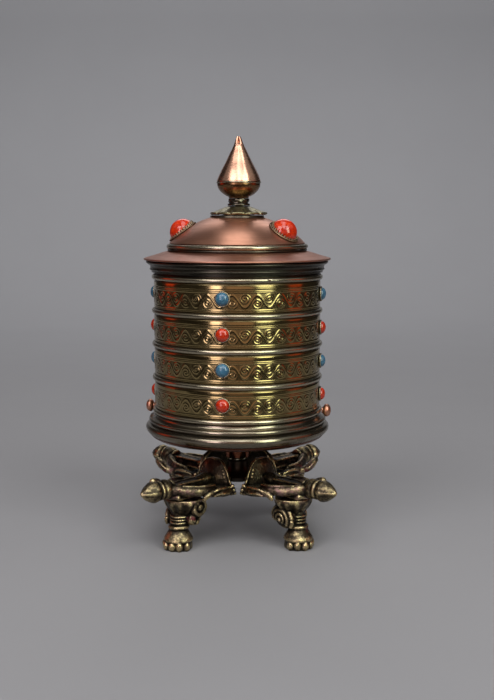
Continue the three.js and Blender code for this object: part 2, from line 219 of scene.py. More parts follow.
def block(low_corner, high_corner):
    """A box between its lowest and its highest corner."""
    corners = np.array([[x, y, z] for z in (0, 1) for x, y in ((0, 0), (1, 0), (1, 1), (0, 1))], float)
    vertices = np.array(low_corner) + corners * (np.array(high_corner) - np.array(low_corner))
    sides = [(i, (i + 1) % 4, (i + 1) % 4 + 4, i + 4) for i in range(4)]
    return vertices, np.array([(3, 2, 1, 0), (4, 5, 6, 7), *sides])


# -------- pieces
def mesh_of(name, solids):
    """One mesh of several solids, in metres."""
    vertices, faces, count = [], [], 0
    for v, f in solids:
        vertices.append(v)
        faces.append(f + count)
        count += len(v)
    made = bpy.data.meshes.new(name)
    made.from_pydata((np.vstack(vertices) * MM).tolist(), [], np.vstack(faces).tolist())
    made.validate()
    return made


def weld(mesh):
    """Makes the points that coincide one, drops faces without area, and turns the rest outwards."""
    work = bmesh.new()
    work.from_mesh(mesh)
    bmesh.ops.remove_doubles(work, verts=work.verts, dist=1e-7)
    bmesh.ops.dissolve_degenerate(work, edges=work.edges, dist=1e-8)
    bmesh.ops.recalc_face_normals(work, faces=work.faces)
    work.to_mesh(mesh)
    work.free()


BODIES = frame["record"]["behaviour"]["bodies"]
BODY_OF = {node: body for body, nodes in BODIES.items() for node in nodes}


def piece(name, solid, material, node=None, crease=38, relief=None, stands_for=True):
    """A finished piece that stands for a CAD node: the one named, or else its own name without the
    last word."""
    mesh = mesh_of(name, [solid])
    if relief is not None:
        mesh.attributes.new("relief", "FLOAT", "POINT").data.foreach_set("value", relief.ravel())
    weld(mesh)
    mesh.shade_smooth()
    mesh.set_sharp_from_angle(angle=radians(crease))
    mesh.materials.append(material)
    joined(bpy.data.objects.new(name, mesh), node or name.rpartition("_")[0], stands_for)


def joined(obj, node, stands_for=True):
    """Tells the frame which body a piece rides on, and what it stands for."""
    bpy.context.collection.objects.link(obj)
    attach(obj, BODY_OF[node])
    if stands_for:
        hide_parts(node)


def proudness(mesh, points, normals):
    """0 in the hollows, 0.5 on plain surfaces, 1 on ridges, from the points round each point."""
    edges = np.empty(len(mesh.edges) * 2, int)
    mesh.edges.foreach_get("vertices", edges)
    a, b = edges.reshape(-1, 2).T
    count = np.bincount(a, minlength=len(points)) + np.bincount(b, minlength=len(points))
    level, height = points, 0
    for turns, share in ((6, 0.6), (24, 0.4)):
        for _ in range(turns):
            near = [
                np.bincount(a, level[b, k], len(points)) + np.bincount(b, level[a, k], len(points))
                for k in range(3)
            ]
            level = 0.5 * level + 0.5 * np.stack(near, 1) / count[:, None]
        lift = np.sum((points - level) * normals, 1)
        height = height + share * lift / np.percentile(np.abs(lift), 85)
    return unit(0.5 + 0.32 * height)


def cast(name, solids, node, angle, seed, cut=None):
    """A rough casting: the solids fused by remeshing, softened, and pitted with seeded noise."""
    rough = bpy.data.objects.new(name + "_rough", mesh_of(name + "_rough", solids))
    weld(rough.data)
    bpy.context.collection.objects.link(rough)
    remesh = rough.modifiers.new("fuse", "REMESH")
    remesh.mode = "VOXEL"
    remesh.voxel_size = VOXEL * MM
    soften = rough.modifiers.new("soften", "SMOOTH")
    soften.factor = 0.5
    soften.iterations = 2
    view = bpy.context.evaluated_depsgraph_get()
    mesh = bpy.data.meshes.new_from_object(rough.evaluated_get(view))
    mesh.name = name
    bpy.data.objects.remove(rough)
    points = np.empty(len(mesh.vertices) * 3)
    mesh.vertices.foreach_get("co", points)
    points = points.reshape(-1, 3) / MM
    normals = np.array([v.vector for v in mesh.vertex_normals])
    proud = proudness(mesh, points, normals)
    mesh.attributes.new("proud", "FLOAT", "POINT").data.foreach_set("value", proud)
    shift = Vector((seed * 37.1, seed * 11.3, 0))
    swell = [
        0.16 * noise.noise(Vector(p) * 0.35 + shift) + 0.09 * noise.noise(Vector(p) * 1.1 + shift)
        for p in points
    ]
    points += normals * np.array(swell)[:, None]
    if cut:
        points[:, 2] = np.clip(points[:, 2], *cut)
    c, s = cos(radians(angle)), sin(radians(angle))
    points = points @ np.array([[c, s, 0], [-s, c, 0], [0, 0, 1]])
    mesh.vertices.foreach_set("co", (points * MM).ravel())
    mesh.shade_smooth()
    mesh.materials.clear()
    mesh.materials.append(CAST_BRASS)
    joined(bpy.data.objects.new(name, mesh), node)


# -------- materials
class Surface:
    """A material under construction, with short calls for the nodes that several of them share."""

    def __init__(self, name):
        self.material = bpy.data.materials.new(name)
        self.material.use_nodes = True
        self.tree = self.material.node_tree
        self.shader = self.tree.nodes["Principled BSDF"]
        self.coordinates = self.node("TexCoord").outputs["Object"]

    def node(self, kind, inputs=None, **settings):
        made = self.tree.nodes.new("ShaderNode" + kind)
        for key, value in settings.items():
            setattr(made, key, value)
        for key, value in (inputs or {}).items():
            self.feed(made.inputs[key], value)
        return made

    def feed(self, socket, value):
        if isinstance(value, bpy.types.NodeSocket):
            self.tree.links.new(value, socket)
        else:
            socket.default_value = value

    def set(self, name, value):
        self.feed(self.shader.inputs[name], value)

    def math(self, operation, a, b=0.0, clamp=False):
        made = self.node("Math", {0: a, 1: b}, operation=operation, use_clamp=clamp)
        return made.outputs[0]

    def remap(self, value, start, end, low=0.0, high=1.0):
        inputs = {"Value": value, "From Min": start, "From Max": end, "To Min": low, "To Max": high}
        return self.node("MapRange", inputs).outputs[0]

    def mix(self, amount, a, b):
        """Colours mixed: a and b are outputs, or (red, green, blue)."""
        a, b = ((*c, 1) if isinstance(c, tuple) else c for c in (a, b))
        return self.node("Mix", {0: amount, 6: a, 7: b}, data_type="RGBA").outputs[2]

    def times(self, a, b):
        return self.math("MULTIPLY", a, b)

    def noise(self, scale, detail=3.0, roughness=0.55, vector=None):
        inputs = {"Scale": scale, "Detail": detail, "Roughness": roughness}
        return self.node("TexNoise", {"Vector": vector or self.coordinates, **inputs}).outputs["Fac"]

    def turning(self):
        """Coordinates in which a noise becomes the fine rings that turning and spinning leave."""
        radius, height, angle = self.place()
        slow = self.times(self.math("COSINE", angle), 0.0012)
        return self.node("CombineXYZ", {0: radius, 1: slow, 2: height}).outputs[0]

    def place(self):
        """Distance from the spindle, height, and angle round the spindle."""
        x, y, z = self.node("SeparateXYZ", {0: self.coordinates}).outputs
        flat = self.node("VectorMath", {0: self.coordinates, 1: (1, 1, 0)}, operation="MULTIPLY")
        radius = self.node("VectorMath", {0: flat.outputs[0]}, operation="LENGTH").outputs["Value"]
        return radius, z, self.math("ARCTAN2", y, x)

    def painted_corner_shade(self, reach):
        """Painted shade: 1 in the corners within reach (in mm) of another surface, 0 in the open, so that the
        colour darkens where shade falls.
        """
        open_sky = self.node("AmbientOcclusion", {"Distance": reach * MM}, samples=6)
        return self.remap(open_sky.outputs["AO"], 0.75, 0.25)

    def bump(self, height, depth):
        made = self.node("Bump", {"Height": height, "Distance": depth * MM, "Strength": 1.0})
        self.set("Normal", made.outputs[0])


def spun_metal(name, bright, dark, polish, tarnish, reach=1.2, relief=False):
    """Turned or spun sheet: fine rings, tarnish in patches, painted shade that darkens the corners, and, on a
    piece that carries a relief attribute, a dark patina in the hollows of its pattern."""
    s = Surface(name)
    turning = s.turning()
    fine = s.noise(1600, 4, 0.6, turning)
    broad = s.noise(160, 3, 0.6, turning)
    cloud = s.noise(38, 4, 0.6)
    patches = s.remap(s.math("ADD", cloud, s.times(broad, 0.5)), 0.62, 0.98)
    stain = s.times(patches, tarnish)
    # the real tarnish patches, joined with painted shade in the corners
    tarnish_and_shade = s.math("MAXIMUM", s.painted_corner_shade(reach), stain, clamp=True)
    if relief:
        height = s.node("Attribute", attribute_name="relief").outputs["Fac"]
        tarnish_and_shade = s.math("MAXIMUM", tarnish_and_shade, s.remap(height, 0.9, 0.0, 0.0, 0.95), clamp=True)
    tint = s.mix(s.remap(fine, 0.3, 0.7), bright, tuple(c * 0.86 for c in bright))
    s.set("Base Color", s.mix(tarnish_and_shade, tint, dark))
    s.set("Metallic", s.remap(tarnish_and_shade, 0, 1, 1.0, 0.8))
    rough = s.remap(tarnish_and_shade, 0, 1, polish, polish + 0.22)
    s.set("Roughness", s.math("ADD", rough, s.remap(fine, 0.3, 0.7, -0.03, 0.05)))
    s.bump(s.math("ADD", fine, broad), 0.010)
    return s.material


def cast_metal():
    """Rough cast brass, from its dark hollows, deepened by painted shade in the corners, to the golden ridges
    that hands have rubbed, with pink braze along the joint of arm and leg and a few spots of red wax."""
    s = Surface("rough_brass")
    proud = s.node("Attribute", attribute_name="proud").outputs["Fac"]
    grain = s.noise(1000, 5, 0.65)
    cloud = s.noise(230, 4, 0.6)
    height = s.math("ADD", proud, s.remap(cloud, 0.3, 0.7, -0.22, 0.22))
    height = s.math("ADD", height, s.remap(grain, 0.3, 0.7, -0.10, 0.10))
    # painted shade: the colour darkens in the corners, where shade falls
    height = s.math("SUBTRACT", height, s.times(s.painted_corner_shade(4.0), 0.35))
    radius, z, _ = s.place()
    # the castings are made lighter and more golden towards their feet
    height = s.math("ADD", height, s.remap(z, 0.013, 0.004, 0.0, 0.16))
    rubbed = s.remap(height, 0.61, 0.97)
    colour = s.mix(s.remap(height, 0.22, 0.60), (0.008, 0.007, 0.005), (0.070, 0.056, 0.037))
    colour = s.mix(rubbed, colour, (0.60, 0.48, 0.26))
    joint = s.times(s.remap(radius, 0.031, 0.036), s.remap(radius, 0.050, 0.046))
    seam = s.times(s.remap(z, 0.0225, 0.0255), s.remap(z, 0.034, 0.031))
    seam = s.times(seam, joint)
    braze = s.times(seam, s.remap(s.noise(240, 5, 0.7), 0.50, 0.62))
    braze = s.times(braze, s.remap(proud, 0.35, 0.6, 0.2, 0.8))
    colour = s.mix(braze, colour, (0.36, 0.20, 0.18))
    wax = s.times(joint, s.remap(s.noise(150, 3, 0.5), 0.66, 0.69))
    s.set("Base Color", s.mix(wax, colour, (0.11, 0.012, 0.014)))
    s.set("Metallic", s.remap(s.math("MAXIMUM", wax, braze), 0, 1, 0.95, 0.3))
    s.set("Roughness", s.remap(rubbed, 0, 1, 0.42, 0.24))
    s.bump(s.math("ADD", grain, s.times(cloud, 2.0)), 0.20)
    return s.material


def stone(name, light, deep, vein, vein_edge):
    """A polished cabochon with soft mottling and thin darker veins."""
    s = Surface(name)
    mottle = s.noise(420, 4, 0.6)
    veins = s.node("TexVoronoi", {"Vector": s.coordinates, "Scale": 520}, feature="DISTANCE_TO_EDGE")
    thin = s.times(s.remap(veins.outputs[0], vein_edge, 0), s.remap(mottle, 0.45, 0.6))
    s.set("Base Color", s.mix(thin, s.mix(s.remap(mottle, 0.35, 0.65), deep, light), vein))
    s.set("Roughness", s.remap(mottle, 0.3, 0.7, 0.12, 0.24))
    s.set("Coat Weight", 0.4)
    s.bump(mottle, 0.05)
    return s.material


def paper():
    """Aged paper, seen by the edges of its many turns."""
    s = Surface("rolled_paper")
    fibre = s.noise(2600, 5, 0.7, s.turning())
    s.set("Base Color", s.mix(fibre, (0.42, 0.33, 0.19), (0.78, 0.70, 0.52)))
    s.set("Roughness", 0.85)
    s.bump(fibre, 0.05)
    return s.material


def tape():
    """Woven red cotton."""
    s = Surface("cotton_tape")
    inputs = {"Vector": s.turning(), "Scale": 900, "Distortion": 1.5}
    weave = s.node("TexWave", inputs, bands_direction="Z").outputs[1]
    s.set("Base Color", s.mix(weave, (0.22, 0.012, 0.02), (0.42, 0.04, 0.045)))
    s.set("Roughness", 0.8)
    s.bump(weave, 0.06)
    return s.material


# the last number of each spun metal is the reach, in mm, of its painted corner shade
COPPER = spun_metal("spun_copper", (0.66, 0.33, 0.225), (0.22, 0.085, 0.045), 0.29, 0.35)
FINIAL_COPPER = spun_metal("finial_copper", (0.76, 0.43, 0.30), (0.34, 0.14, 0.08), 0.23, 0.35)
ROOF_COPPER = spun_metal("roof_copper", (0.46, 0.22, 0.155), (0.17, 0.07, 0.05), 0.33, 0.5)
RING_BRASS = spun_metal("ring_brass", (0.43, 0.38, 0.275), (0.02, 0.017, 0.012), 0.20, 0.35, 1.8)
BASE_BRASS = spun_metal("base_brass", (0.26, 0.225, 0.165), (0.014, 0.012, 0.009), 0.20, 0.5, 2.2)
OLIVE_BRASS = spun_metal("olive_brass", (0.40, 0.36, 0.21), (0.03, 0.028, 0.014), 0.24, 0.85, 0.9)
WALL_BRASS = spun_metal("wall_brass", (0.38, 0.29, 0.13), (0.024, 0.015, 0.006), 0.12, 0.40, 0.8, relief=True)
# painted shade: a dark copy of the copper for the pan, bottom plate and guide bush, which lie in shade under
# the drum
SHADED_FOOT_COPPER = spun_metal("shaded_foot_copper", (0.17, 0.060, 0.032), (0.02, 0.008, 0.005), 0.20, 0.5, 6)
BRONZE = spun_metal("bronze", (0.12, 0.105, 0.08), (0.010, 0.009, 0.008), 0.25, 0.4, 1.6)
# painted shade: a near-black copy of the bronze for the hub, which sits in the shade under the drum
SHADED_BLACK_BRONZE = spun_metal("shaded_black_bronze", (0.05, 0.04, 0.032), (0.006, 0.005, 0.004), 0.4, 0.5, 3)
CORNICE_BRONZE = spun_metal("cornice_bronze", (0.085, 0.077, 0.060), (0.006, 0.006, 0.005), 0.25, 0.4, 1.6)
# its long reach paints shade and a dark reflection over the lower half of the finial bowl
BROWN_BRONZE = spun_metal("brown_bronze", (0.24, 0.13, 0.06), (0.012, 0.006, 0.004), 0.25, 0.5, 6)
BEZEL_BRONZE = spun_metal("bezel_bronze", (0.34, 0.24, 0.15), (0.025, 0.016, 0.012), 0.28, 0.6, 0.8)
STEEL = spun_metal("turned_steel", (0.42, 0.43, 0.44), (0.08, 0.07, 0.06), 0.3, 0.4)
CAST_BRASS = cast_metal()
CORAL = stone("coral_stone", (0.90, 0.060, 0.010), (0.62, 0.022, 0.005), (0.35, 0.01, 0.004), 0.03)
TURQUOISE = stone("turquoise_stone", (0.10, 0.30, 0.45), (0.045, 0.17, 0.30), (0.02, 0.03, 0.035), 0.08)
PAPER = paper()
TAPE = tape()


# -------- lid
def dome_z(r, inset=0.0):
    return DOME_BALL_Z + sqrt((DOME_BALL_R - inset) ** 2 - r**2)


def dome_arc(start, end, steps, inset=0.0):
    return [(r, dome_z(r, inset)) for r in np.linspace(start, end, steps + 1)]


def rolled_sheet(r, z, a):
    """The cone is a rolled sheet: its edge laps over at the front, and at the tip the two edges part
    into lips with a slit between them."""
    t = unit((z - (TIP_Z - 6.5)) / 6.5)
    seam = FRONT + 0.30 * (1 - t) - 0.55 * t**1.5
    off = np.angle(np.exp(1j * (a - seam)))
    lap = 0.20 * unit(off / 0.05) * np.exp(-np.clip(off, 0, None) / 1.6)
    slit = 0.85 * unit((t - 0.35) / 0.4) ** 0.7 * ridge(off, 0.42)
    hollow_back = 0.45 * t * np.exp(-((np.abs(off) - pi) ** 2) / 0.5)
    planished = 0.05 * np.sin(5 * a + 0.4) + 0.035 * np.sin(11 * a + 1.3)
    near_foot = unit((z - FINIAL_RIM_Z - 0.5) / 3)
    worked = r * (1 - slit - hollow_back) + (lap * (1 - t) + planished * (1 - t)) * near_foot
    return np.where(r > 0.05, worked, r), z, a


def finial_cone():
    foot = FINIAL_RIM_Z + 0.15
    flank = [(10.85, foot), (10.8, 177.8), (9.85, 180.3), (8.35, 183.4), (6.45, 187), (4.55, 190.9)]
    point = [(3.2, 193.6), (2.3, 195.6), (1.75, 197.2), (1.3, 198.5), (0.8, TIP_Z), (0, TIP_Z)]
    inside = [(0, 194), (3.2, 191), (8.4, 180.9), (10, foot)]
    outline = [*smooth(flank + point[:-1], 6), point[-1], *inside]
    return shifted(turned(outline, ROUND, rolled_sheet))


def shifted(solid):
    """The finial's pieces stand a little off the axis."""
    return placed(solid, Matrix.Translation((FINIAL_OFF, 0, 0)))


def finial_bowl():
    rim = FINIAL_RIM_Z
    foot = 169.35
    outside = arc(0, rim - 0.6, 10.75, 7.6, -62, -6, 16)
    inside = arc(0, rim - 0.6, 9.9, 6.4, -5, -60, 8)
    lip = [(10.6, rim - 0.3), (10, rim - 0.3)]
    return shifted(turned([(2.1, foot), (4.9, foot), *outside, *lip, *inside, (2.1, 170.6)]))


def finial_rim():
    wire = arc(10.72, FINIAL_RIM_Z - 0.35, 0.36, 0.42, 0, 330, 11)
    wavy = lambda r, z, a: (r, z + 0.10 * (np.sin(3 * a + 1) - 0.6 * np.cos(a)), a)
    return shifted(turned(wire, ROUND, wavy))


def finial_neck():
    lower = [(5.5, 165.6), *arc(5.2, 166.1, 0.35, 0.5, -60, 90, 6), (4.75, 166.9)]
    upper = [(4.8, 167.3), *arc(4.85, 168.2, 0.35, 0.9, -75, 75, 8), (4.85, 169.2)]

    def rope(r, z, a):
        worked = np.where((r > 4) & (z > 167), 1.0, 0.35)
        return r + worked * 0.13 * np.cos(7 * a + 2.2 * z), z, a

    return shifted(turned([*lower, *upper, (2.1, 169.2), (2.1, 165.6)], SMALL * 2, rope))


def lotus_cap():
    crown = [(5, 165.45), (6, 165.15), (7.6, 164.55), (9.6, 163.75), (11.4, 163), (12.9, 162.45)]
    rim = arc(13.45, 161.85, 0.7, 0.62, 65, -80, 10)
    inside = [(13, 161.25), (9.3, 163.1), (5, 164.5), (2.1, 164.6), (2.1, 165.45)]

    def petals(r, z, a):
        out = unit((r - 7.5) / 6)
        lobe = np.abs(np.cos(5.5 * (a - 0.1)))
        notch = ridge(lobe, 0.28)
        rolled = ridge(r - 13.2, 0.9)
        crease = 0.30 * out * notch
        rib = 0.10 * out * ridge(1 - lobe, 0.02)
        lift = rib - crease * (1 - 0.5 * rolled) + 0.12 * out * (lobe - 0.5)
        return r - 0.5 * out**2 * notch, z + lift, a

    return shifted(turned([*smooth(crown, 5), *rim, *inside], 330, petals))


def dome():
    outside = dome_arc(13.9, 33.8, 48)
    foot = [(33.4, 147.1), (32.6, 147), (32.6, 144.3), (31.8, 144.3), (31.8, 147)]
    inside = dome_arc(31, 3, 24, SHEET)
    return turned([(3, dome_z(3)), (12, dome_z(12)), *outside, *foot, *inside])


def dome_collar():
    foot = dome_z(13.4) + 0.05
    bead = arc(12.95, 160.55, 0.45, 0.32, 120, -40, 7)
    return turned([(12.4, foot + 0.3), (12.4, 160.85), *bead, (13.45, foot)])


def hand_drawn(amount):
    """A shape for wire that was bent by hand: it wanders a little in height and radius."""
    return lambda r, z, a: (r + amount * np.sin(5 * a + 0.7), z + amount * np.sin(7 * a + 2.1), a)


def wire_ring(r, z, tube):
    return turned(arc(r, z, tube, tube, 0, 345, 23), ROUND, hand_drawn(0.05))


def roof():
    top = [(31.8, 143.35), (35, 143.22), (38.3, 142.35), (41.7, 141.25), (44.9, 140.35), (46.1, 139.98)]
    lip = arc(46.05, 139.5, 0.45, 0.42, 80, -80, 8)
    under = [(44.8, 139.02), (35, 142.3), (31.8, 142.4)]
    return turned([*smooth(top, 5), *lip, *under])


def cornice():
    lip = [(42, 138.7), (44.9, 138.7), *arc(44.75, 138.05, 0.6, 0.6, 80, -60, 8)]
    cove = [(44.4, 137.1), (43.6, 136.6), (43.25, 135.9), (43.2, 135.3)]
    bead = arc(43, 134.75, 0.55, 0.5, 70, -70, 8)
    foot = [(42.7, 134), (42.6, 133.1), (40.65, 133), (40.65, 127.5), (39.85, 127.5), (39.85, 136)]
    return turned([*lip, *smooth(cove, 4), *bead, *foot])


def dome_stone_pose(node):
    """Stone coordinates: +X along the stone's axis, from the middle of the ball it is half of."""
    at = Matrix.Translation((STONE_AT, 0, dome_z(STONE_AT)))
    lean = Matrix.Rotation(-STONE_UP, 4, "Y")
    return Matrix.Rotation(azimuth(node), 4, "Z") @ at @ lean @ Matrix.Translation((-STONE_SINK, 0, 0))


def dome_fall(radius, gap):
    """How far along a stone's axis the dome lies at a distance from it, by the angle round it."""
    rise = dome_z(STONE_AT) - DOME_BALL_Z
    middle_x = -(STONE_AT * cos(STONE_UP)) - rise * sin(STONE_UP) + STONE_SINK
    middle_z = STONE_AT * sin(STONE_UP) - rise * cos(STONE_UP)

    def at(angle):
        across = radius**2 + middle_z**2 - 2 * radius * middle_z * np.cos(angle)
        return middle_x + np.sqrt((DOME_BALL_R + gap) ** 2 - across)

    return at


def on_dome(foot_r, gap):
    """A shape that drops the foot of a turned form, marked by x < -1, on to the dome. The form is
    turned about +Z here, its angle 0 pointing down the dome once it lies along +X."""
    fall = dome_fall(foot_r, gap)
    return lambda x, a: np.where(x < -1, fall(a - pi), x)


def dome_coral():
    seat = on_dome(STONE_R, 0.3)
    outline = [(0, -2), (STONE_R - 0.3, -2), *arc(0, 0, STONE_R, STONE_R, 0, 88, 30), (0, STONE_R)]

    def worn(r, z, a):
        ripple = 1 + 0.006 * np.sin(3 * a + z)
        return r * ripple, seat(z, a), a

    return along_x(outline, SMALL * 2, worn)


def serrated_bezel():
    """A strip round the stone's foot, its top cut into fine teeth that are pressed to the stone."""
    inner = STONE_R + 0.12
    outer = [(7.35, -2), (7.3, -0.1), (7.15, 0.7), (6.9, 1.7)]
    seat = on_dome(7.3, 0.15)

    def teeth(r, z, a):
        tooth = np.abs(np.cos(14 * a)) ** 1.2
        height = np.where(z > 0.4, 0.3 + (z - 0.3) * (0.25 + 0.85 * tooth), z)
        lean = np.where(z > 0.4, -0.05 * z * z * tooth, 0.0)
        return r + lean + np.where(r > inner + 0.1, 0.14 * tooth, 0), seat(height, a), a

    outline = [*smooth(outer, 5), (inner + 0.05, 1.7), (inner, 0.5), (inner, -2)]
    return along_x(outline, 336, teeth)


def bezel_wire():
    """The beaded wire that hides the bezel's solder."""
    fall = dome_fall(7.75, 0.15)
    ring = arc(7.62, 0, 0.42, 0.42, 0, 330, 11)

    def beads(r, z, a):
        beaded = 0.55 + 0.45 * np.abs(np.cos(24 * a)) ** 0.6
        return 7.62 + (r - 7.62) * beaded, fall(a - pi) + 0.35 + z * beaded, a

    return along_x(ring, 384, beads)


def build_lid():
    piece("finial_cone_sheet", finial_cone(), FINIAL_COPPER, crease=50)
    piece("finial_bowl_spun", finial_bowl(), BROWN_BRONZE)
    piece("finial_rim_wire", finial_rim(), RING_BRASS, "finial_bowl")
    piece("finial_neck_worked", finial_neck(), BRONZE)
    piece("lotus_cap_petals", lotus_cap(), OLIVE_BRASS, crease=60)
    bolt = [(0, 158.2), (4.2, 158.2), (4.2, 160.4), (1.8, 160.4), (1.8, 178.6), (0, 178.6)]
    piece("tie_bolt_turned", shifted(turned(bolt, SMALL)), STEEL)
    piece("dome_spun", dome(), COPPER)
    piece("dome_collar_turned", dome_collar(), BRONZE, "dome")
    piece("dome_ring_wire", wire_ring(34, DOME_RING_Z, 1.2), RING_BRASS)
    piece("ledge_ring_wire", wire_ring(34.3, LEDGE_RING_Z, 0.45), BRONZE)
    piece("roof_spun", roof(), ROOF_COPPER)
    piece("cornice_moulded", cornice(), CORNICE_BRONZE)
    for i in (1, 2, 3):
        pose = dome_stone_pose(f"dome_coral_{i}")
        bezel = f"dome_bezel_{i}"
        piece(bezel + "_serrated", placed(serrated_bezel(), pose), BEZEL_BRONZE, crease=50)
        piece(bezel + "_wire", placed(bezel_wire(), pose), BEZEL_BRONZE, crease=80)
        piece(f"dome_coral_{i}_polished", placed(dome_coral(), pose), CORAL)


# -------- drum
def frieze(x, y):
    """Height, 0 to 1, of the embossed field at x mm along and y mm up from its middle: a running vine
    whose every half wave holds a volute."""
    half = pi * WALL_R / FRIEZE_WAVES
    k = np.floor(x / half)
    side = np.where(k % 2 == 0, 1.0, -1.0)
    u = x - (k + 0.5) * half
    vine = ridge(y - 2.9 * side * np.cos(pi * u / half), 0.55)
    v = (y + 0.9 * side) * side
    rho = np.hypot(u, v)
    turn = np.arctan2(v, u) / (2 * pi)
    coil = (0.5 + 0.5 * np.cos(2 * pi * (rho / 1.35 - turn))) ** 1.5
    volute = coil * unit((2.9 - rho) / 0.5)
    return np.maximum(vine, volute)


def step(value, start, end):
    """0 before start, 1 after end, smooth between."""
    t = unit((value - start) / (end - start))
    return t * t * (3 - 2 * t)


def wall_relief(z, a):
    """Depth in mm below the wall's face, and the height of the pattern for the patina; beside each ring the
    height drops to nothing, which darkens the wall there.
    """
    depth, height = np.zeros(z.shape), np.ones(z.shape)
    for upper, lower in zip(RING_Z, RING_Z[1:]):
        inside = (z <= upper) & (z >= lower)
        v = z - lower
        field = step(v, 3.1, 3.4) * (1 - step(v, 11, 11.3))
        pattern = frieze(a * WALL_R, v - 7.2)
        sunk = field * (1 - pattern)
        grooves = sum(ridge(v - at, 0.16) for at in (2.55, 11.75, 12.5, 14.6))
        bulge = BULGE * ((v - RING_GAP / 2) / (RING_GAP / 2)) ** 2
        depth = np.where(inside, RELIEF * sunk + 0.10 * grooves + bulge, depth)
        height = np.where(inside, 1 - np.maximum(0.5 * sunk, 0.8 * grooves.clip(0, 1)), height)
    # the wall is darkened in the bed beside each ring
    for ring in RING_Z:
        bed = 1 - step(np.abs(z - ring), RING_HALF + 0.25, RING_HALF + 0.95)
        depth = np.maximum(depth, BED * bed)
        height = np.minimum(height, 1 - bed)
    return depth, height


def drum_wall():
    """The wall, and the height of its pattern at each of its points."""
    top, foot = high("drum_wall").z, low("drum_wall").z
    inner = WALL_R - SHEET
    face = [(WALL_R, z) for z in np.arange(foot, top, 0.2)]
    outline = [*face, (WALL_R, top), (inner, top), (inner, foot)]
    kept = {}

    def embossed(r, z, a):
        depth, height = wall_relief(z, a)
        outside = r > inner + 0.1
        kept["relief"] = np.where(outside, height, 1.0)
        return np.where(outside, r - depth, r), z, a

    return turned(outline, WALL_FACETS, embossed), kept["relief"]


def band_ring(z, seam):
    """Half-round wire bent round the wall, its two ends brazed together at the seam."""
    def bent(r, height, a):
        joint = np.angle(np.exp(1j * (a - seam)))
        dip = 0.25 * ridge(joint, 0.006) - 0.12 * ridge(joint - 0.02, 0.012)
        out = unit((r - WALL_R - 0.2) / 0.8)
        return r - out * (dip + 0.02 * np.sin(7 * a + seam)), height + 0.06 * np.sin(3 * a + seam), a

    middle_r = RING_R - 1.22
    return turned(arc(middle_r, z, 1.22, 1.25, -108, 108, 24), 360, bent)


def base_moulding():
    neck = [(41.9, 62.5), (41.95, 61.9), (42.35, 61.2), (43, 60.85)]
    upper = arc(43.5, 59.45, 1.15, 1.2, 100, -70, 16)
    lower = arc(44.1, 55.4, 2.1, 2.15, 75, -52, 20)
    under = [(45.2, 53.3), (44.3, 52.6), (39.9, 52.6)]
    return turned([*neck, *upper, (43.6, 57.8), *lower, *under, (39.9, 62.5)])


def base_foot():
    """The drum's copper pan, turned up inside the base moulding."""
    side = [(44.1, 52.45), (44, 52.1), (43.2, 51.3), (41.8, 50.6), (40.8, 50.4), (39.9, 50.5)]
    return turned([*smooth(side, 5), (39.9, 52.45)])


def bottom_plate():
    foot, top = ends("bottom_plate")
    edge = high("bottom_plate").x
    steps = [(30, foot), (29.6, foot + 0.25), (16, foot + 0.25), (15.6, foot)]
    return turned([(4.15, foot), *reversed(steps), (edge, foot), (edge, top), (4.15, top)])


def rolled_paper():
    """A thick roll whose ends show the edges of its turns."""
    foot, top = ends("mantra_scroll")
    outer = high("mantra_scroll").x
    turns = np.arange(4.3, outer - 0.1, 0.35)
    upper = [(r, top - 0.18 * (i % 2)) for i, r in enumerate(turns)]
    lower = [(r, foot + 0.18 * (i % 2)) for i, r in enumerate(turns)]
    return turned([*lower, (outer, foot), (outer, top), *reversed(upper)], ROUND)


def tape_band(node):
    foot, top = ends(node)
    outer = high(node).x
    face = [(outer - 0.1 * (i % 2), z) for i, z in enumerate(np.linspace(foot, top, 12))]
    return turned([(outer - 0.7, foot), *face, (outer - 0.7, top)], ROUND, hand_drawn(0.02))


def knob():
    stem = [(0, 0), (1.6, 0), (1.5, 0.5)]
    return along_x([*stem, *arc(0, 2.4, 3.2, 2.1, -58, 88, 20), (0, 4.5)])


def cabochon(radius, height):
    return along_x([(0, 0), (radius, 0), *arc(0, 0.5, radius, height - 0.5, 0, 88, 18), (0, height)], 64)


def small_bezel(radius):
    """A twisted wire round a small stone."""
    ring = arc(radius + 0.25, 0.35, 0.32, 0.42, 0, 330, 11)
    twist = lambda r, z, a: (r + 0.07 * np.cos(26 * a + 5 * z), z, a)
    return along_x(ring, 208, twist)


def standing_at(node, radius):
    """Stands a form made along +X out from the drum, at a node's angle and height."""
    return Matrix.Rotation(azimuth(node), 4, "Z") @ Matrix.Translation((radius, 0, middle(node).z))


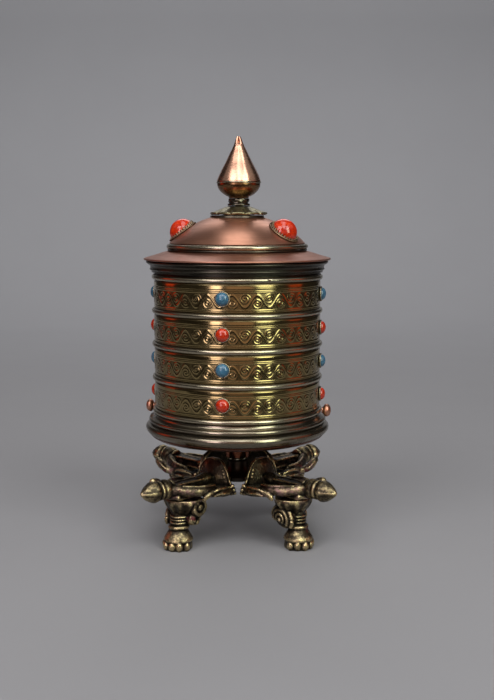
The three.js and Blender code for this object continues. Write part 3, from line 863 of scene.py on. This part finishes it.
def build_drum():
    wall, relief = drum_wall()
    piece("drum_wall_embossed", wall, WALL_BRASS, crease=75, relief=relief)
    for i, (ring, z) in enumerate(zip(RINGS, RING_Z)):
        seam = FRONT + (0.35, 2.2, -0.9, 3.4, 1.3)[i]
        piece(ring + "_wire", band_ring(z, seam), RING_BRASS)
    piece("base_moulding_turned", base_moulding(), BASE_BRASS)
    piece("base_foot_turned", base_foot(), SHADED_FOOT_COPPER, "base_moulding")
    piece("bottom_plate_turned", bottom_plate(), SHADED_FOOT_COPPER)
    foot, top = ends("guide_bush")
    bush = [(2.45, foot), (5.9, foot), (6.25, foot + 0.3), (7.2, top - 0.2), (7.1, top), (2.45, top)]
    piece("guide_bush_turned", turned(bush, SMALL), SHADED_FOOT_COPPER)
    tube = [(3.2, 50.8), (4, 50.8), (4, 118), (3.2, 118)]
    piece("core_tube_drawn", turned(tube, SMALL), COPPER)
    cup = [(0, 121.2), (3.7, 121.2), (4.6, 120.3), (4.6, 118.15), (2.7, 118.15), (0, 119.6)]
    piece("pivot_cup_turned", turned(cup, SMALL), STEEL)
    piece("mantra_scroll_roll", rolled_paper(), PAPER, crease=20)
    for node in ("scroll_tie_upper", "scroll_tie_lower"):
        piece(node + "_tape", tape_band(node), TAPE)
    for node in sorted(frame["nodes"]):
        if node.startswith(("turquoise_tier", "coral_tier")):
            at = standing_at(node, WALL_R + 0.1)
            look = CORAL if node.startswith("coral") else TURQUOISE
            lifted = at @ Matrix.Translation((SEAT - 0.1, 0, 0))
            piece(node + "_polished", placed(cabochon(3.1, 2.6), lifted), look)
            bezel = placed(small_bezel(3.1), at)
            piece(node + "_bezel", bezel, RING_BRASS, crease=60, stands_for=False)
    for node in ("spin_knob_1", "spin_knob_2"):
        piece(node + "_turned", placed(knob(), standing_at(node, RING_R + SEAT)), COPPER)


# -------- stand
PETAL = [(18.4, 26.6), (19.4, 28.4), (19.7, 31), (19.3, 34.4), (18.2, 38), (16.4, 41)]
PETAL_HALF = 11.5  # half its width at the foot
PETAL_THICK = 1.7


def petal():
    """A bud's outer petal: a finely striped shell with a raised and beaded rim."""
    profile = spline(PETAL, 9)
    t = np.linspace(0, 1, len(profile))[:, None]
    s = np.linspace(-1, 1, 81)[None, :]
    half_width = PETAL_HALF * np.sqrt(np.clip(1 - unit((t - 0.08) / 0.92) ** 2.2, 0.001, 1))
    a = np.arcsin(np.clip(half_width * s / profile[:, :1], -1, 1))
    edge = np.maximum(np.abs(s) ** 9, unit((t - 0.94) / 0.06))
    groove = ridge(np.abs(s) - 0.88, 0.035) * (t < 0.92)
    striped = 0.10 * np.cos(s * 66 + 2 * t) * (1 - edge)
    faces = []
    for out in (edge * 0.9 + striped - 0.35 * groove, np.full(a.shape, -PETAL_THICK)):
        r = profile[:, :1] + out
        faces.append(np.stack([r * np.cos(a), r * np.sin(a), profile[:, 1:] + 0 * r], -1))
    rows, columns = a.shape
    layered = np.hstack([faces[0], faces[1][:, ::-1]]).reshape(-1, 3)
    lids = []
    for row in (0, rows - 1):
        start = row * 2 * columns
        far = start + 2 * columns - 1
        pairs = [(start + i, start + i + 1, far - 1 - i, far - i) for i in range(columns - 1)]
        lids += pairs if row else [p[::-1] for p in pairs]
    beads = [
        ellipsoid(faces[0][row, column], (0.45,) * 3, facets=10)
        for row in range(22, rows - 12, 4)
        for column in (9, columns - 10)
    ]
    return [(layered, np.vstack([grid(rows, 2 * columns, False, True), np.array(lids)])), *beads]


def cage_side(sign, hooked):
    """One side of the vajra's cage: the strut that runs into the bud, the leaf that ends in a claw
    under it, and, on the sides that face left and right, a hook that bends outwards."""
    def bar(radii, *points):
        return rod([(u, sign * w, z) for u, w, z in points], radii)

    def lump(u, w, z, *radii):
        return ellipsoid((u, sign * w, z), radii if len(radii) == 3 else radii * 3)

    leaf = (17, 11.4, 26.2), (20.5, 12.4, 26.6), (24.5, 12.8, 27.2), (28.5, 12.6, 27.6)
    claw = (29.5, 12.8, 28.2), (32.9, 12.9, 27.7), (34.9, 12.8, 26.3), (35.5, 12.6, 24.8)
    upper_vein = (20, 13.6, 28.6), (24, 14.4, 29.3), (28, 14.5, 29.4), (31, 14.3, 28.6)
    lower_vein = (20.5, 14.6, 26), (24, 15.1, 26.6), (27.5, 15, 27), (31, 14.4, 26.4)
    strut = (26, 10.6, 28.9), (31, 11.2, 28.9), (36.5, 10.2, 29.2), (42.5, 6.8, 29.8)
    strut_edge = (27, 11.4, 31), (33, 11.6, 31.4), (38, 9.8, 31.7), (44, 6.4, 32.4)
    beads = (17.9, 12.8, 25), (16.4, 13.5, 26.8), (18.3, 12.7, 28)
    beads += (15.3, 12.9, 24.9), (17, 13.2, 28.9), (19.6, 12.6, 25.8)
    parts = [
        bar((1.7, 2.3, 2.5, 2.2, 1.7), *leaf, (31.5, 12.2, 27.2)),
        bar((1.9, 1.6, 1.25, 0.8), *claw),
        bar((0.5, 0.8, 0.8, 0.5), *upper_vein),
        bar((0.4, 0.6, 0.6, 0.4), *lower_vein),
        bar((1.3, 2, 2.4, 2.5, 2.6), *strut, (48.5, 2, ARM_Z)),
        bar((0.4, 0.7, 0.7, 0.5), *strut_edge),
        lump(16.2, 11.6, 26.2, 2.1, 2, 2.7),
        *(lump(*at, 0.95) for at in beads),
    ]
    if hooked:
        hook = (31, 12.2, 27.4), (35, 13.4, 27.6), (39, 14.3, 28.6), (42.6, 14.4, 30.6)
        parts += [
            bar((1.9, 1.9, 2, 2.1, 1.5), *hook, (45.4, 13.6, 31.6)),
            lump(45.2, 13.6, 31.4, 2.1, 1.7, 1.9),
            bar((0.4, 0.7, 0.4), (37.5, 15.8, 29), (40.5, 16, 30.6), (43.5, 15.4, 32.2)),
        ]
    return parts


def bud():
    """A closed bud, round behind and drawn to a point, with a seam along each side."""
    outline = [(0, 54.8), (3, 54.9), (4.5, 55.6), (5.1, 56.8), (5, 58), (4.3, 59.7)]
    outline += [(3.2, 61.6), (1.8, 63.5), (0.7, 64.7)]

    def carved(r, z, a):
        seam = ridge(np.abs(np.sin(a)) - 1, 0.02)
        corner = np.abs(np.cos(a)) ** 2
        return r * (0.97 + 0.05 * corner) + 0.35 * seam * (r > 1), z, a

    return along_x([*smooth(outline, 5), (0, ARM_TIP)], 72, carved, (0, 0, ARM_Z))


def collar():
    """The bead behind the bud: a wide lobe between two narrow rings."""

    def ring(r, x, tube, width):
        outline = [(0, x - width), *arc(r, x, tube, width, -80, 80, 10), (0, x + width)]
        return along_x(outline, 40, None, (0, 0, ARM_Z))

    return [ring(2.2, 50.6, 2.7, 3.6), ring(3.4, 53.6, 1.4, 1.2), ring(2.4, 46.2, 1.7, 1.1)]


def arm(hooks):
    """A vajra arm: petal, shaft with four lines along it, cage, collar and bud, on a pad for the leg."""
    web = block((8.8, -4, 27.4), (19, 4, 30.4))
    shaft = block((16.5, -2.7, 28.4), (48, 2.7, 32.4))
    lines = [
        rod([(22, w, z), (34, w, z), (46.5, w * 0.9, z)], (0.45, 0.6, 0.45))
        for w, z in ((2.5, 32.3), (-2.5, 32.3), (2.8, 28.8), (-2.8, 28.8))
    ]
    tongue = ellipsoid((24.5, 0, 31.8), (5.4, 3.4, 2.4), 8)
    pad = block((33.5, -6.4, 25.6), (46.5, 6.4, 29))
    lip = rod([(46, -6.2, 27.3), (47.2, 0, 27), (46, 6.2, 27.3)], (1.3, 1.5, 1.3))
    band_line = [(15.4, -11.4, 26.6), (17.8, -6, 26.8), (18.6, 0, 26.8), (17.8, 6, 26.8), (15.4, 11.4, 26.6)]
    band = rod(band_line, (1.6, 1.7, 1.7, 1.7, 1.6))
    knurls = [
        ellipsoid((19.9 - 0.022 * w * w, w, 26.6), (0.8, 1.1, 1.2))
        for w in (-7.2, -4.3, -1.45, 1.45, 4.3, 7.2)
    ]
    sides = [*cage_side(1, 1 in hooks), *cage_side(-1, -1 in hooks)]
    return [*petal(), web, shaft, *lines, tongue, pad, lip, band, *knurls, *sides, *collar(), bud()]


def curl(u, z, w, radius, tube, start, end, shrink=0.0):
    """A ridge coiled round an axis across the arm. Its radius shrinks along the way."""
    turns = np.linspace(0, 1, 18)
    angles = np.radians(start + (end - start) * turns)
    size = radius * (1 - shrink * turns)
    points = [(u + k * cos(t), w, z + k * sin(t)) for k, t in zip(size, angles)]
    return rod(points, [tube] * len(points), 8, 2)


def disc(u, z, sign, outline):
    """A turned form on the knee's side, its axis across the arm, from an outline of (radius, w)."""
    turn = Matrix.Rotation(-sign * pi / 2, 4, "X")
    return placed(turned(outline, 40), Matrix.Translation((u, 0, z)) @ turn)


def button():
    """The +w side of the knee: a ringed button, and under it a small curl with a round tip."""
    boss = disc(-4.2, 21, 1, [(0, 0), (4.6, 0), (4.8, 8.4), (4.2, 9.8), (3, 9.9), (2.6, 9.3), (0, 9.3)])
    middle_bead = ellipsoid((-4.2, 9.4, 21), (1.7, 1.1, 1.7))
    hanging = disc(-2.8, 15.6, 1, [(0, 0), (3.4, 0), (3.4, 7.2), (2.7, 8.3), (0, 8.5)])
    coil = curl(-2.8, 15.6, 8.2, 2.4, 0.8, 220, -60, 0.45)
    tip = ellipsoid((-3.8, 8.2, 13.8), (1.4, 1.1, 1.3))
    return [boss, middle_bead, hanging, coil, tip]


def scroll():
    """The -w side of the knee: three ridges that coil towards the ankle."""
    back = disc(-3, 16.2, -1, [(0, 0), (6, 0), (6.1, 5.8), (5.2, 7.2), (3, 8), (0, 8.6)])
    coils = ((6.6, 5.8, 1.15, 190, -40), (7.7, 3.9, 1, 200, -45), (8.4, 2, 0.85, 215, -60))
    ridges = [curl(-3.2, 15.4, -w, *coil) for w, *coil in coils]
    return [back, *ridges, ellipsoid((-3.2, -8.8, 14.9), (1.2, 1, 1.2))]


def leg():
    """A lion's leg: fluted knee, ridged shin, ankle band, and a bell-shaped paw with a row of toes."""
    paw = [(6.3, 0), (6.7, 0.8), (6.7, 3.6), (7.2, 4.8), (6.9, 6), (5.8, 7.8), (4.9, 9.2), (4.6, 10)]
    shin = [(4.1, 12.2), (4.1, 13.6), (4.3, 16.4), (4.6, 18), (0, 18)]
    post = turned([*smooth(paw, 4), *shin, (0, 0)], 64)
    toes = []
    for at in range(-85, 86, 34):  # degrees; its sine and cosine only vary the toes
        middle_of_toe = (5.95 + 0.15 * sin(at), 0, 2.2 + 0.2 * cos(at))
        turn = Matrix.Rotation(radians(at), 4, "Z")
        toes.append(placed(ellipsoid(middle_of_toe, (2, 1.9, 2.6), 12), turn))
    rings = ((4.2, 11.1, 1.15, 1), (4.2, 13.3, 0.55, 0.45), (4.35, 14.8, 0.55, 0.45), (4.6, 16.3, 0.55, 0.45))
    bands = [turned(arc(*ring, 0, 330, 11), 48) for ring in rings]
    funnel = [(4.3, 16.3), (5.2, 17.4), (6.8, 19.4), (8.3, 21.6), (9, 23.4), (8.8, 25)]

    def fluted(r, z, a):
        worked = step(z, 16.8, 19.5) * (1 - step(z, 22.6, 24.2)) * (r > 1)
        return r + 0.30 * worked * np.cos(11 * a), z, a

    knee = placed(
        turned([(0, 16.3), *smooth(funnel, 5), (0, 25)], 160, fluted),
        Matrix.Translation((-1.4, 0, 0)) @ Matrix.Diagonal((0.95, 1.10, 1, 1)),
    )
    parts = [post, *toes, *bands, knee, *button(), *scroll()]
    return [(v + outward(v), f) for v, f in parts]


def outward(points):
    """The leg stands at LEG_U, and bends outwards from the knee to the paw."""
    moved = np.zeros(points.shape)
    moved[:, 0] = LEG_U + PAW_OUT * (1 - step(points[:, 2], 8, 19))
    return moved


def bevelled(node, radius, bevel, facets=SMALL):
    """A ring on the spindle whose outer edges are bevelled."""
    foot, top = ends(node)
    edge = [(radius - bevel, foot), (radius, foot + bevel), (radius, top - bevel), (radius - bevel, top)]
    return turned([(2.3, foot), *edge, (2.3, top)], facets)


def build_stand():
    tip = high("spindle").z
    point = [(2, tip - 3.5), (0.15, tip - 0.05), (0, tip)]
    spike = [(0, low("spindle").z), (2, low("spindle").z), *point]
    piece("spindle_turned", turned(spike, SMALL), STEEL)
    foot, top = ends("stand_hub")
    hub = [(2.3, foot + 2.7), (5.1, foot + 2.7), (5.1, foot), (7.3, foot), (8.3, foot + 0.5)]
    shoulder = [(8.5, foot + 1.2), (8.5, foot + 2.3), (7.6, 30.6), (6.2, 31.4), (5.2, 33.6)]
    socket = [(5, 34.6), (5, top - 0.5), (4.6, top), (2.3, top)]
    piece("stand_hub_turned", turned([*hub, *shoulder, *socket], SMALL), SHADED_BLACK_BRONZE)
    piece("spindle_nut_hex", bevelled("spindle_nut", 4.4, 0.4, 6), BRONZE, crease=15)
    piece("thrust_washer_turned", bevelled("thrust_washer", 4.6, 0.2), RING_BRASS)
    for seed, (corner, angle) in enumerate(CORNERS.items(), 1):
        cast(f"arm_{corner}_cast", arm(HOOKS[corner]), f"vajra_arm_{corner}", angle, seed)
        node = f"leg_{corner}"
        cast(node + "_cast", leg(), node, angle, seed + 9, (0, high(node).z))


# -------- stage, light and camera
def stage_piece(name, points, faces):
    mesh = bpy.data.meshes.new(name)
    mesh.from_pydata(points, [], faces.tolist())
    mesh.shade_smooth()
    mesh.set_sharp_from_angle(angle=radians(30))
    s = Surface(name + "_paper")
    mottle = s.noise(9, 3)
    s.set("Base Color", s.mix(mottle, (0.34, 0.34, 0.36), (0.36, 0.36, 0.38)))
    s.set("Roughness", 0.9)
    s.set("Specular IOR Level", 0.1)
    mesh.materials.append(s.material)
    obj = bpy.data.objects.new(name, mesh)
    bpy.context.collection.objects.link(obj)
    return obj


PAPER_HALF = 0.75  # half the width of the backdrop, in metres
PAPER_FRONT = -0.22  # its front edge
BEND_START = 0.9  # where it starts to curve up
BEND_R = 0.5
PAPER_TOP = 2.6
ROOM_R = 2.2  # radius of the room's floor
ROOM_TOP = 3.0


def bent_up(start, first_angle):
    """The quarter circle by which a floor that ends at start turns up into a wall."""
    turns = np.linspace(first_angle, pi / 2, 16)
    return [(start + BEND_R * sin(t), BEND_R - BEND_R * cos(t)) for t in turns]


def build_stage():
    """A table top that curves up into a backdrop, and round it a room for the camera alone: polished
    metal reflects the dark studio in its place."""
    path = [(PAPER_FRONT, -0.004), (PAPER_FRONT, 0), (BEND_START, 0)]
    path += [*bent_up(BEND_START, 0.1), (BEND_START + BEND_R, PAPER_TOP)]
    points = [(x, y, z) for y, z in path for x in (-PAPER_HALF, PAPER_HALF)]
    stage_piece("backdrop", points, grid(len(path), 2, False, False))
    rows = [(0.002, 0), *bent_up(ROOM_R, 0), (ROOM_R + BEND_R, ROOM_TOP)]
    a = np.linspace(0, 2 * pi, 96, endpoint=False)
    points = [(r * cos(t), r * sin(t), z - 0.001) for r, z in rows for t in a]
    room = stage_piece("room", points, grid(len(rows), len(a), False, True))
    room.visible_glossy = room.visible_diffuse = False


def softbox(name, side, rise, distance, size, colour, radiance):
    """A rectangular light aimed at the middle of the drum, side degrees round from the front towards
    +X and rise degrees up."""
    light = bpy.data.lights.new(name, "AREA")
    light.shape = "RECTANGLE"
    light.size, light.size_y = size
    light.color = colour
    light.energy = radiance * pi * size[0] * size[1]
    obj = bpy.data.objects.new(name, light)
    obj.visible_camera = False
    a, e = radians(side), radians(rise)
    way = Vector((sin(a) * cos(e), -cos(a) * cos(e), sin(e)))
    obj.location = Vector((0, 0, 0.1)) + way * distance
    obj.rotation_euler = way.to_track_quat("Z", "Y").to_euler()
    bpy.context.collection.objects.link(obj)
    return obj


def build_lights():
    softbox("overhead", 0, 72, 1.1, (0.46, 1.5), (1, 0.985, 0.97), 2.1)
    softbox("left_key", -38, 42, 1.1, (0.50, 0.50), (1, 0.98, 0.96), 4.4)
    softbox("right_key", 38, 42, 1.1, (0.50, 0.50), (1, 0.99, 0.96), 4.4)
    softbox("front_key", 3, 44, 1.1, (0.20, 0.60), (1, 0.98, 0.96), 3)
    softbox("left_wing", -86, 45, 1.1, (0.7, 0.7), (1, 0.97, 0.95), 0.20)
    softbox("right_wing", 86, 45, 1.1, (0.7, 0.7), (0.97, 1, 0.96), 0.30)
    softbox("rear", 176, 44, 1.3, (0.8, 0.5), (1, 0.95, 0.90), 1)
    cards = [
        softbox("left_card", -29, 11, 0.75, (0.18, 0.44), (0.92, 0.76, 0.84), 5.6),
        softbox("right_card", 36.5, 17, 0.75, (0.27, 0.42), (0.90, 1, 0.78), 6),
        softbox("middle_card", 3, 6, 0.95, (0.62, 0.45), (1, 0.64, 0.50), 0.56),
        softbox("left_glow", -103, 11, 0.6, (0.20, 0.22), (1, 0.07, 0.004), 0.95),
        softbox("right_glow", 83, 11, 0.6, (0.24, 0.22), (1, 0.12, 0.010), 0.8),
    ]
    for card in cards:
        card.visible_diffuse = False
    backdrop = softbox("backdrop_light", 180, 50, 1.7, (2.2, 0.5), (1, 1, 1), 4.8)
    backdrop.rotation_euler = (radians(55), 0, 0)
    world = bpy.data.worlds.new("room")
    world.use_nodes = True
    world.node_tree.nodes["Background"].inputs[0].default_value = (0.022, 0.020, 0.019, 1)
    bpy.context.scene.world = world


CAMERA_AT = Vector((-7.1, -531.2, 161.4))
CAMERA_DOWN = radians(7.28)
CAMERA_TO_RIGHT = radians(1.291)
CAMERA_LENS = 54.64  # on a sensor 36 mm wide


def build_camera():
    data = bpy.data.cameras.new("camera")
    data.sensor_width = 36.0
    data.lens = CAMERA_LENS
    data.clip_start = 0.01
    camera = bpy.data.objects.new("camera", data)
    camera.location = CAMERA_AT * MM
    camera.rotation_euler = (radians(90) - CAMERA_DOWN, 0, -CAMERA_TO_RIGHT)
    bpy.context.collection.objects.link(camera)
    bpy.context.scene.camera = camera


build_camera()
build_lid()
build_drum()
build_stand()
build_stage()
build_lights()
bpy.context.scene.view_settings.view_transform = "Standard"
